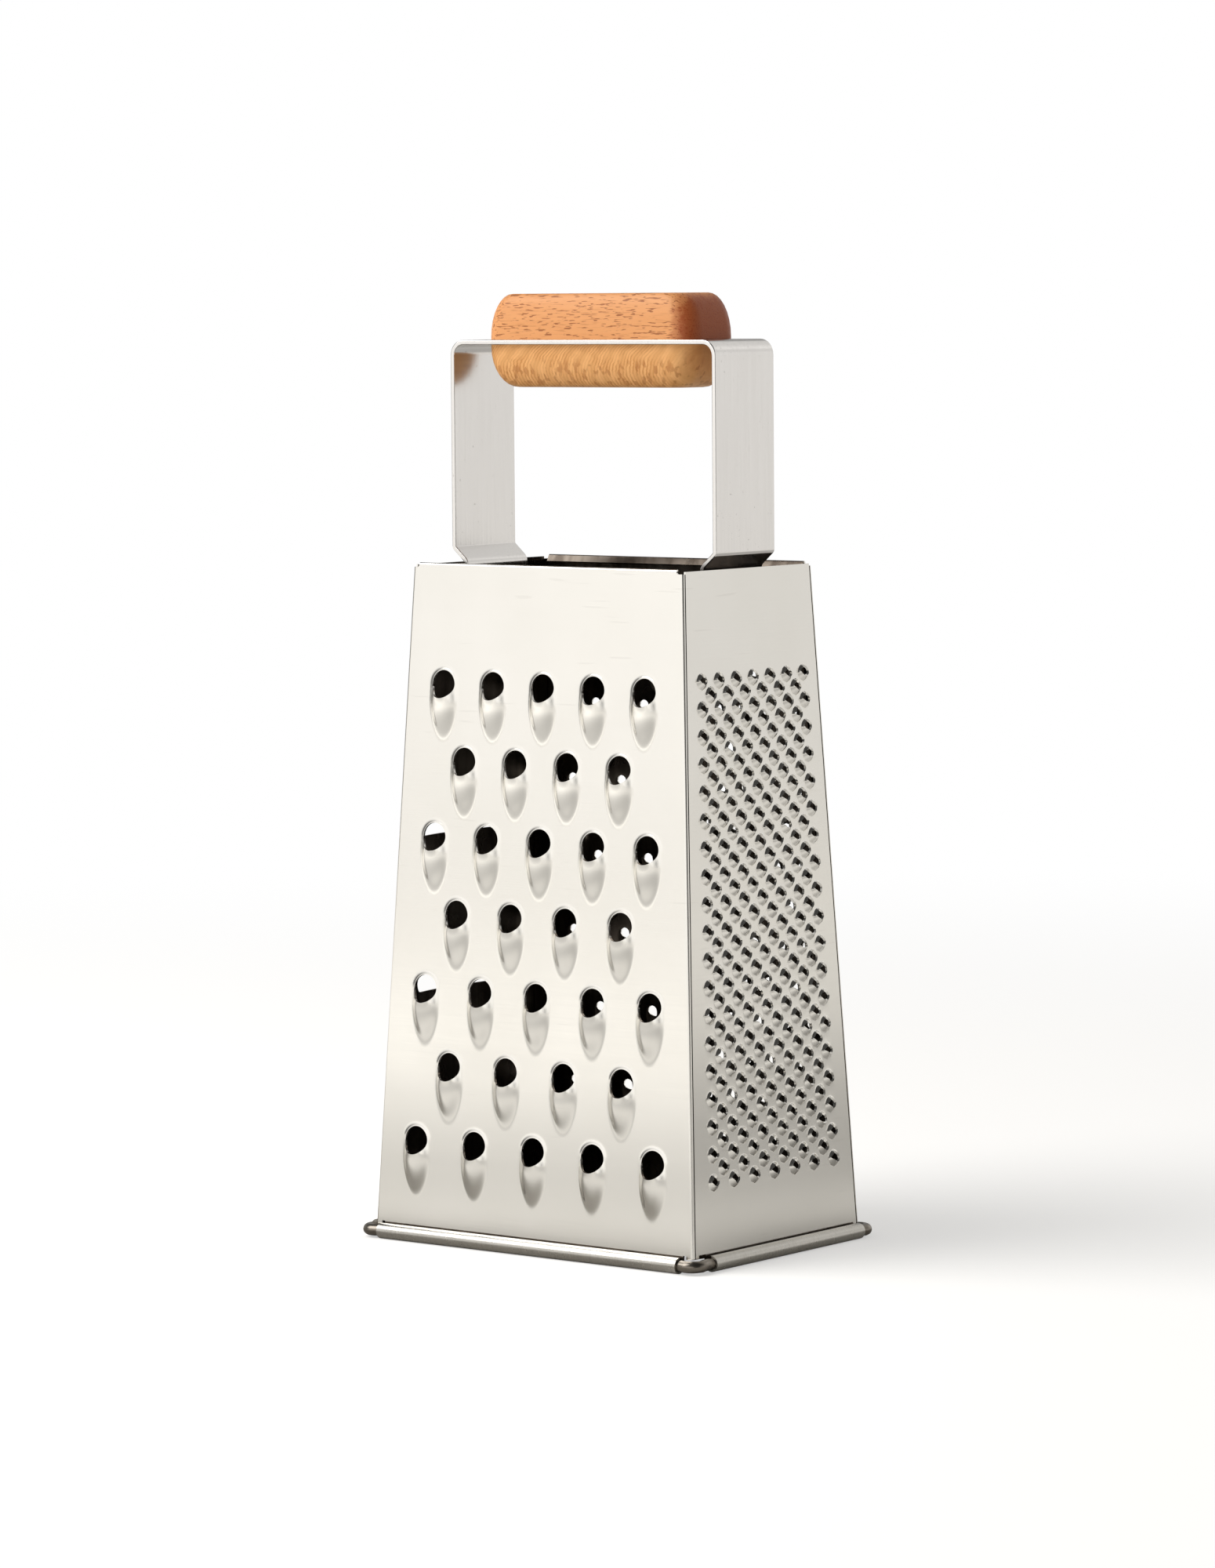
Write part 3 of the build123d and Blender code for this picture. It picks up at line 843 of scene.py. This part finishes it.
strap = {
    "width": 25.0, "thickness": 1.2, "half": 43.0, "top": 233.2, "crease": 179.0, "step": 4.7,
    "stepDrop": 4.1, "pad": 169.5, "foot": 155.5, "gap": 0.55, "bend": 4.0, "foldBend": 1.5, "bendSteps": 8,
    "round": 0.28, "roundSteps": 3, "roundAngle": 50, "sharpAngle": 35,
}


def stripPath(points, bends):
    # Rounds the corners of a path; gives each point with its outward direction
    path = []
    for index, point in enumerate(points):
        before = points[index - 1] if index else None
        after = points[index + 1] if index + 1 < len(points) else None
        if not before or not after:
            run = (after - point if after else point - before).normalized()
            path.append((point, Vector((-run.y, run.x))))
            continue
        first, second = (point - before).normalized(), (after - point).normalized()
        turn = math.atan2(first.x * second.y - first.y * second.x, first.dot(second))
        bend, sign = bends[index], math.copysign(1, turn)
        start = point - first * bend * math.tan(abs(turn) / 2)
        outward = Vector((first.y, -first.x)) * sign
        center = start - outward * bend
        for step in range(strap["bendSteps"] + 1):
            angle = turn * step / strap["bendSteps"]
            way = Vector((outward.x * math.cos(angle) - outward.y * math.sin(angle),
                          outward.x * math.sin(angle) + outward.y * math.cos(angle)))
            path.append((center + way * bend, way * -sign))
    return path


def addStrap():
    # The strip's edge is drawn as a closed outline, filled, pushed across its width and its edges rounded
    def inner(height):
        return narrow.footReach - height * math.tan(narrow.lean) - strap["gap"] / math.cos(narrow.lean)

    half, crease = strap["half"], strap["crease"]
    right = [(half, strap["top"]), (half, crease), (half - strap["step"], crease - strap["stepDrop"]),
             (inner(strap["pad"]), strap["pad"]), (inner(strap["foot"]), strap["foot"])]
    left = [(-x, z) for x, z in reversed(right)]
    folds = [strap["bend"]] + [strap["foldBend"]] * (len(right) - 1)
    path = stripPath([Vector(place) for place in left + right], folds[::-1] + folds)
    outline = [place for place, way in path]
    outline += [place - way * strap["thickness"] for place, way in reversed(path)]
    near = -strap["width"] / 2
    piece = addLoop("strap", [Vector((place.x, near, place.y)) * mm for place in outline])
    edit(piece)
    bpy.ops.mesh.select_all(action="SELECT")
    bpy.ops.mesh.edge_face_add()
    bpy.ops.mesh.extrude_region_move(TRANSFORM_OT_translate={"value": (0, strap["width"] * mm, 0)})
    bpy.ops.mesh.select_all(action="SELECT")
    bpy.ops.mesh.normals_make_consistent(inside=False)
    finishEdit()
    applyModifier(piece, "BEVEL", width=strap["round"] * mm, segments=strap["roundSteps"],
                  limit_method="ANGLE", angle_limit=math.radians(strap["roundAngle"]))
    smooth(piece, strap["sharpAngle"], weighted=True)
    return piece


band = addStrap()
dress(band, "strap")
handOver(band, "handle_strap")

# Wooden grip

grip = {
    "length": 67.2, "depth": 22.0, "corner": 6.0, "cornerSteps": 12,
    "upperLow": 233.25, "upperHeight": 11.8, "upperEnd": 6.0, "upperSide": 2.4,
    "lowerHigh": 231.95, "lowerHeight": 11.0, "lowerEndShade": 6.5, "lowerSide": 4.5,
    "straight": 0.6, "steps": 8, "faceInset": 1.5, "sharpAngle": 40,
}
screws = {"apart": 36.0, "hole": 3.4, "deep": 2.4, "facets": 40}


def addGripHalf(name, base, height, endInset, sideInset, flip):
    # A block with rounded upright corners, drawn up in steps that round it over
    bpy.ops.object.select_all(action="DESELECT")
    bpy.ops.mesh.primitive_cube_add(size=mm, location=(0, 0, 0))
    piece = bpy.context.object
    piece.name = name
    piece.data.transform(Matrix.Diagonal((grip["length"], grip["depth"], 1, 1)))
    mesh = edit(piece)
    bpy.ops.mesh.select_mode(type="EDGE")
    for edge in mesh.edges:
        edge.select = abs(edge.verts[0].co.z - edge.verts[1].co.z) > close
    bpy.ops.mesh.bevel(offset=grip["corner"] * mm, segments=grip["cornerSteps"])
    bpy.ops.mesh.select_mode(type="FACE")
    mesh = bmesh.from_edit_mesh(piece.data)
    for vert in mesh.verts:
        vert.co.z = 0.0 if vert.co.z < 0 else grip["straight"] * mm
    for face in mesh.faces:
        face.select = face.normal.z > 0.9
    lengthNow, depthNow, riseNow = grip["length"], grip["depth"], grip["straight"]
    for step in range(1, grip["steps"] + 1):
        turn = math.pi / 2 * step / grip["steps"]
        length = grip["length"] - 2 * endInset * (1 - math.cos(turn))
        depth = grip["depth"] - 2 * sideInset * (1 - math.cos(turn))
        rise = grip["straight"] + (height - grip["straight"]) * math.sin(turn)
        bpy.ops.mesh.extrude_region_move(TRANSFORM_OT_translate={"value": (0, 0, (rise - riseNow) * mm)})
        bpy.ops.transform.resize(value=(length / lengthNow, depth / depthNow, 1))
        lengthNow, depthNow, riseNow = length, depth, rise
    bpy.ops.mesh.inset(thickness=grip["faceInset"] * mm)
    finishEdit()
    if flip:
        piece.data.transform(Matrix.Diagonal((1, 1, -1, 1)))
        piece.data.flip_normals()
    piece.data.transform(Matrix.Translation((0, 0, base * mm)))
    smooth(piece, grip["sharpAngle"])
    return piece


def cutHoles(piece):
    # Screw holes from below
    bottom = grip["lowerHigh"] - grip["lowerHeight"]
    for side in (-1, 1):
        bpy.ops.object.select_all(action="DESELECT")
        bpy.ops.mesh.primitive_cylinder_add(
            vertices=screws["facets"], radius=screws["hole"] * mm, depth=2 * screws["deep"] * mm,
            location=(side * screws["apart"] / 2 * mm, 0, bottom * mm))
        drill = bpy.context.object
        applyModifier(piece, "BOOLEAN", operation="DIFFERENCE", solver="EXACT", object=drill)
        bpy.data.objects.remove(drill)


upper = addGripHalf("gripUpper", grip["upperLow"], grip["upperHeight"], grip["upperEnd"],
                    grip["upperSide"], False)
dress(upper, "upperWood")
handOver(upper, "grip_upper")
lower = addGripHalf("gripLower", grip["lowerHigh"], grip["lowerHeight"], grip["lowerEndShade"],
                    grip["lowerSide"], True)
cutHoles(lower)
dress(lower, "lowerWood")
smooth(lower, grip["sharpAngle"])
handOver(lower, "grip_lower")

# The screws keep their CAD shape
dress(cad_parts["grip_screws"], "screw")

# Camera and light

view = {
    "place": (0.9277027, -1.1963220, 0.2455193), "yaw": 0.6610, "pitch": -0.0836, "roll": -0.0078,
    "lens": 134.68, "sensor": 36, "shiftX": 0.00135, "shiftY": -0.00073, "near": 0.05, "far": 20,
}


def addCamera():
    bpy.ops.object.camera_add(location=view["place"])
    camera = bpy.context.object
    yaw, pitch = view["yaw"], view["pitch"]
    ahead = Vector((-math.sin(yaw) * math.cos(pitch), math.cos(yaw) * math.cos(pitch), math.sin(pitch)))
    level = Vector((math.cos(yaw), math.sin(yaw), 0))
    upright = level.cross(ahead)
    cosRoll, sinRoll = math.cos(view["roll"]), math.sin(view["roll"])
    rightward = level * cosRoll + upright * sinRoll
    upward = upright * cosRoll - level * sinRoll
    camera.rotation_euler = Matrix((rightward, upward, -ahead)).transposed().to_euler()
    camera.data.sensor_width = view["sensor"]
    camera.data.lens = view["lens"]
    camera.data.shift_x, camera.data.shift_y = view["shiftX"], view["shiftY"]
    camera.data.clip_start, camera.data.clip_end = view["near"], view["far"]
    bpy.context.scene.camera = camera


studio = {
    "white": (1, 1, 1, 1), "skyWhite": 1.0,
    # the floor as the camera sees it: lifted to white, and plain white far out
    "floorSize": 6.0, "floorColour": (0.80, 0.785, 0.755, 1), "lift": 0.47, "fade": (0.25, 1.0),
    # the floor as steel reflects it: a glow in a ring round the grater and another far out
    "warm": (1.0, 0.975, 0.925, 1), "nearLift": 0.26, "nearStart": (0.05, 0.15), "nearEnd": (0.14, 0.28),
    "farLift": 0.56, "farEdge": (0.35, 1.2),
    # and a darker strip along the front wall, which shades the hoods and the roll
    "stripFront": (-0.098, -0.050), "stripBack": (-0.030, 0.0), "stripRight": (0.03, 0.07),
    "stripColour": (0.40, 0.38, 0.35, 1),
    "tint": (1.0, 0.985, 0.96, 1), "ceiling": 0.06, "band": (0.15, 0.75),
    "panels": [
        # towards, where the glow starts and is full, strength
        ((-0.09, -1.00, 0), 0.55, 0.85, 1.12),
        ((0.62, 0.79, 0), 0.45, 0.92, 0.77),
        ((-0.79, 0.61, 0), 0.20, 0.90, 0.40),
    ],
    "overhead": ((0.08, 0.77, 0.63), 0.84, 0.97, 0.6),
    # place, aimed at, size, watts
    "lamp": ((-0.75, -0.85, 1.25), (0, 0, 0.12), (1.3, 1.3), 22),
}


def addFloor():
    bpy.ops.object.select_all(action="DESELECT")
    bpy.ops.mesh.primitive_plane_add(size=studio["floorSize"])
    floor = bpy.context.object
    floor.name = "floor"
    pale = Finish("paleFloor")
    pale.tree.nodes.remove(pale.shader)
    seen = pale.add("ShaderNodeLightPath", output="Is Camera Ray")
    glossy = pale.add("ShaderNodeLightPath", output="Is Glossy Ray")
    across, back = pale.part(pale.place(), 0), pale.part(pale.place(), 1)
    strip = pale.ramp(back, *studio["stripFront"]) * (1 - pale.ramp(back, *studio["stripBack"]))
    strip = strip * (1 - pale.ramp(across, *studio["stripRight"]))
    shade = pale.mix(glossy * strip, studio["floorColour"], studio["stripColour"])
    matt = pale.add("ShaderNodeBsdfDiffuse", None, {"Color": shade})
    away = pale.add("ShaderNodeVectorMath", {"operation": "LENGTH"}, {0: pale.place()}, output="Value")
    around = pale.ramp(away, *studio["nearStart"]) * (1 - pale.ramp(away, *studio["nearEnd"]))
    glow = around * studio["nearLift"] + pale.ramp(away, *studio["farEdge"]) * studio["farLift"]
    lift = pale.add("ShaderNodeEmission", None, {
        "Color": pale.mix(glossy, studio["white"], studio["warm"]),
        "Strength": seen * studio["lift"] + glossy * (1 - strip) * glow})
    near = pale.add("ShaderNodeAddShader", None, {0: matt, 1: lift})
    far = pale.add("ShaderNodeEmission", None, {"Color": studio["white"], "Strength": studio["skyWhite"]})
    farShare = pale.ramp(away, *studio["fade"]) * seen
    white = pale.add("ShaderNodeMixShader", None, {0: farShare, 1: near, 2: far})
    pale.plug(pale.tree.nodes["Material Output"].inputs["Surface"], white)
    floor.data.materials.append(pale.material)


def addWorld():
    # Soft panels round the horizon, one overhead, a dim ceiling, and white where the camera looks past
    # the grater
    world = bpy.data.worlds.new("studioAir")
    bpy.context.scene.world = world
    world.use_nodes = True
    air = Tree(world.node_tree)
    way = air.add("ShaderNodeTexCoord", output="Generated")
    band = 1 - air.ramp(air.part(way, 2), *studio["band"])
    glow = studio["ceiling"]
    for aim, low, high, strength in studio["panels"]:
        glow = glow + air.ramp(air.toward(way, aim), low, high) * band * strength
    aim, low, high, strength = studio["overhead"]
    glow = glow + air.ramp(air.toward(way, aim), low, high) * strength
    seen = air.add("ShaderNodeLightPath", output="Is Camera Ray")
    background = air.tree.nodes["Background"]
    air.plug(background.inputs["Color"], air.mix(seen, studio["tint"], studio["white"]))
    air.plug(background.inputs["Strength"], glow * (1 - seen) + seen * studio["skyWhite"])


def addLamp():
    place, aim, size, watts = studio["lamp"]
    bpy.ops.object.light_add(type="AREA", location=place)
    lamp = bpy.context.object
    lamp.data.shape = "RECTANGLE"
    lamp.data.size, lamp.data.size_y = size
    lamp.data.energy = watts
    lamp.rotation_euler = (Vector(aim) - Vector(place)).to_track_quat("-Z", "Y").to_euler()


print("scene: studio")
addCamera()
addFloor()
addWorld()
addLamp()
bpy.context.scene.view_settings.view_transform = "Standard"
